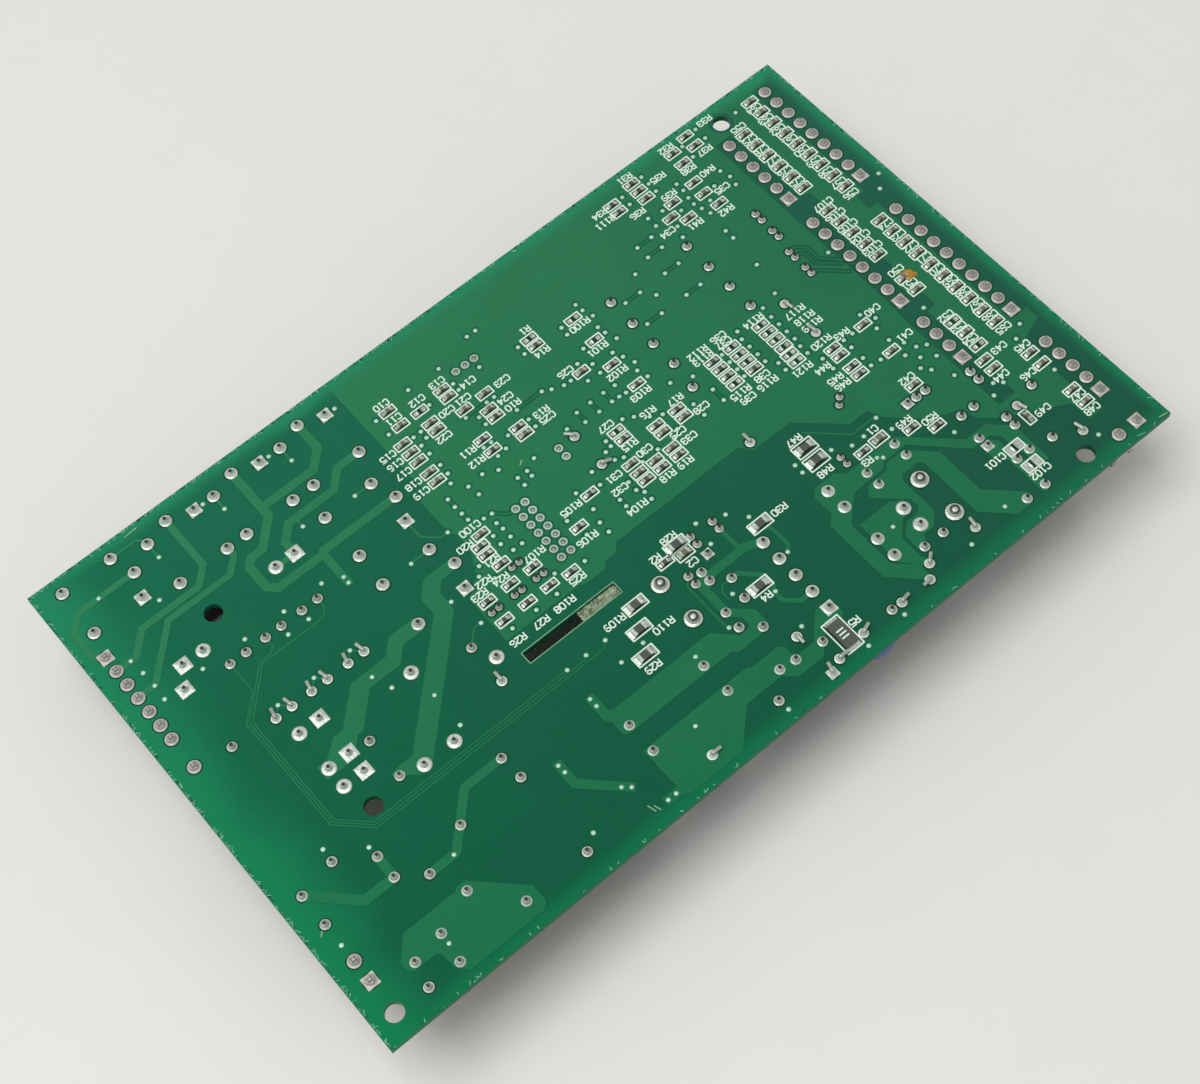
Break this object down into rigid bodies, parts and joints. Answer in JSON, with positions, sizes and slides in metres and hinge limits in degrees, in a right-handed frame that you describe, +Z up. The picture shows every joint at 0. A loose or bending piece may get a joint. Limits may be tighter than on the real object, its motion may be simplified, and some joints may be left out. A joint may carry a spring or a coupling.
{
  "type": "refrigerator control board",
  "caption": "Mains control board for a refrigerator: relays, power supply, edge headers and a processor, shown solder side up.",
  "frame": {"origin": "under the middle of the board, on the flat surface that its tall parts lie on", "axes": "+X along the board's long edge towards the row of edge headers, +Y across the board towards the relay edge, +Z up out of the solder side"},
  "size_m": [0.204, 0.125, 0.0249],
  "materials": {
    "laminate": "green solder mask over glass laminate",
    "masked_copper": "green mask over copper",
    "solder": "tin solder, bright",
    "tinned_wire": "tinned",
    "chip_resistor_body": "glazed",
    "chip_capacitor_body": "matt",
    "relay_case": "moulded",
    "header_nylon": "moulded nylon",
    "bobbin": "moulded",
    "ferrite": "ground",
    "winding_tape": "polyester tape",
    "ring_coating": "coated ferrite",
    "copper_wire": "enamelled copper",
    "can_sleeve": "shrunk sleeve",
    "small_can_sleeve": "shrunk sleeve",
    "film_case": "moulded case",
    "box_case": "moulded case",
    "varistor_coat": "dipped",
    "thermistor_coat": "dipped",
    "disc_coat": "dipped",
    "y_capacitor_coat": "dipped",
    "fuse_glass": "clear",
    "fuse_metal": "plated",
    "sink_aluminium": "extruded",
    "power_package": "moulded",
    "screw_steel": "plated",
    "resistor_coat": "lacquered",
    "small_resistor_coat": "lacquered",
    "diode_body": "moulded",
    "inductor_coat": "lacquered",
    "chip_package": "moulded",
    "chip_leads": "tinned"
  },
  "bodies": {
    "root": {"circuit_board": "laminate", "wire_leads": "tinned_wire", "lead_solder": "solder", "solder_side_copper": "masked_copper", "post_solder": "solder", "bare_hole_rings": "solder", "via_caps": "solder", "chip_resistors": "chip_resistor_body", "chip_capacitors": "chip_capacitor_body", "chip_solder": "solder", "large_chip_resistors": "chip_resistor_body", "shunt_resistor": "chip_resistor_body", "relay_1": "relay_case", "relay_2": "relay_case", "relay_3": "relay_case", "relay_4": "relay_case", "relay_5": "relay_case", "relay_6": "relay_case", "relay_pins": "tinned_wire", "left_header": "header_nylon", "right_header_top": "header_nylon", "right_header_middle": "header_nylon", "right_header_bottom": "header_nylon", "inner_header_top": "header_nylon", "inner_header_middle": "header_nylon", "inner_header_bottom": "header_nylon", "left_supply_header": "header_nylon", "right_supply_header": "header_nylon", "header_posts": "tinned_wire", "transformer_bobbin": "bobbin", "transformer_core": "ferrite", "transformer_winding": "winding_tape", "transformer_pins": "tinned_wire", "choke_base": "bobbin", "choke_core": "ring_coating", "choke_windings": "copper_wire", "bulk_capacitor_1": "can_sleeve", "bulk_capacitor_2": "can_sleeve", "film_capacitor": "film_case", "box_capacitors": "box_case", "varistor": "varistor_coat", "thermistor": "thermistor_coat", "disc_capacitors": "disc_coat", "y_capacitor": "y_capacitor_coat", "fuse_tube": "fuse_glass", "fuse_caps": "fuse_metal", "heat_sink_1": "sink_aluminium", "heat_sink_2": "sink_aluminium", "power_switch": "power_package", "output_rectifier": "power_package", "heat_sink_screws": "screw_steel", "electrolytic_capacitors": "small_can_sleeve", "power_resistors": "resistor_coat", "small_resistors": "small_resistor_coat", "diodes": "diode_body", "axial_inductor": "inductor_coat", "microcontroller": "chip_package", "driver_chips": "chip_package", "chip_legs": "chip_leads", "small_packages": "chip_package"}
  },
  "joints": []
}
